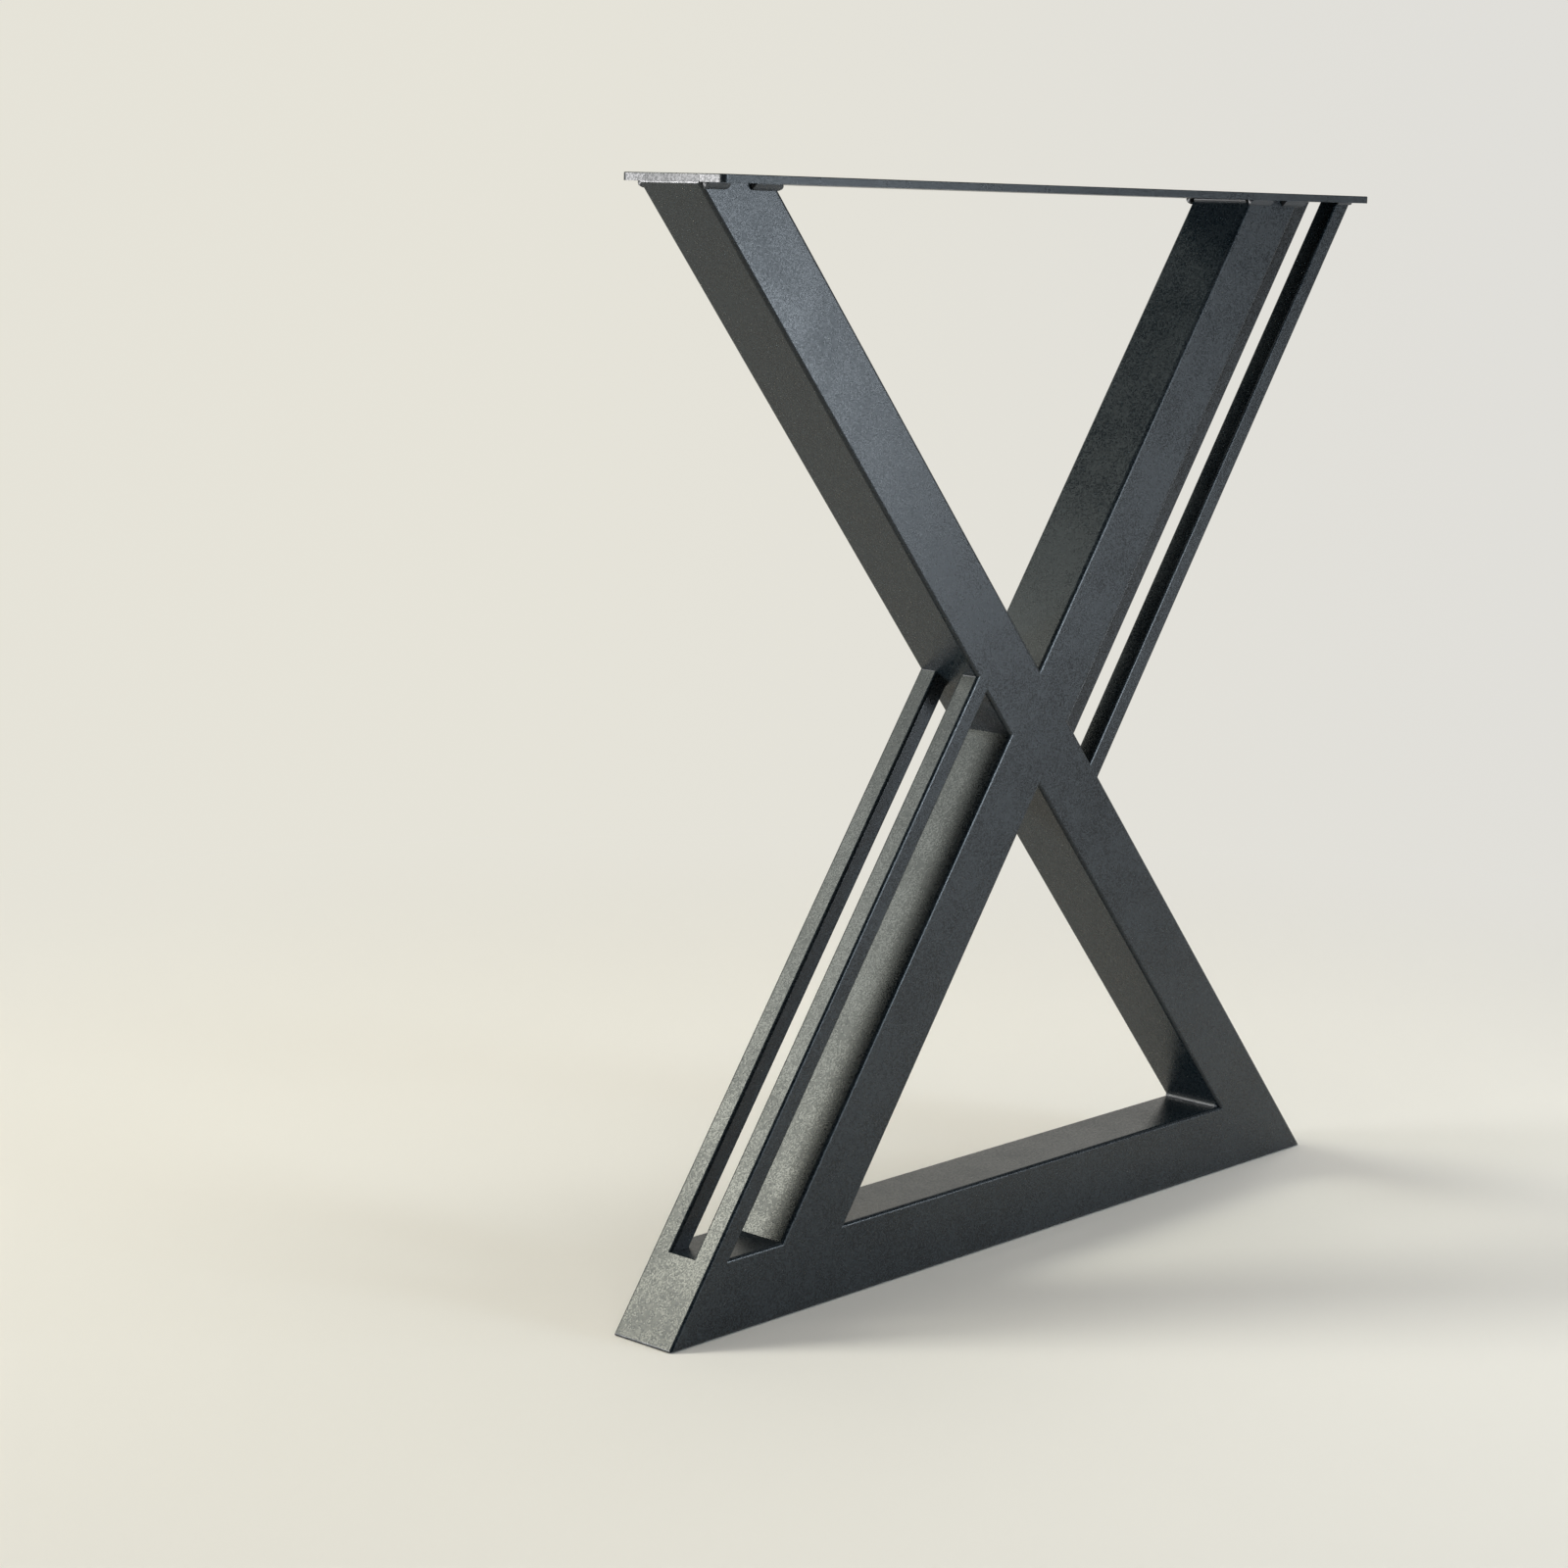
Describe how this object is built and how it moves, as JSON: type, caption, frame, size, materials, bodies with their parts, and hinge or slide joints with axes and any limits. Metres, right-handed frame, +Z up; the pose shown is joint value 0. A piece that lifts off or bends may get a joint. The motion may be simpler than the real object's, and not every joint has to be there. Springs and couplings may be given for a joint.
{
  "type": "desk leg",
  "caption": "Welded X-shaped desk leg of square steel tube, with a flat screw plate on top, a foot rail along the floor and slim side bars, in black powder coat.",
  "frame": {"origin": "on the floor, under the middle of the whole leg", "axes": "+X along the foot rail towards the mitred tip, +Y away from the front, +Z up"},
  "size_m": [0.6988, 0.084, 0.72],
  "materials": {
    "powder_coat": "satin"
  },
  "bodies": {
    "root": {"top_plate": "powder_coat", "long_diagonal": "powder_coat", "upper_brace": "powder_coat", "lower_brace": "powder_coat", "foot_rail": "powder_coat", "foot_end_cap": "powder_coat", "lower_bar_front": "powder_coat", "lower_bar_rear": "powder_coat", "upper_bar_front": "powder_coat", "upper_bar_rear": "powder_coat", "diagonal_plate_welds": "powder_coat", "brace_plate_welds": "powder_coat", "upper_bar_plate_welds": "powder_coat", "upper_bar_diagonal_welds": "powder_coat", "lower_bar_diagonal_welds": "powder_coat", "foot_corner_weld": "powder_coat"}
  },
  "joints": []
}
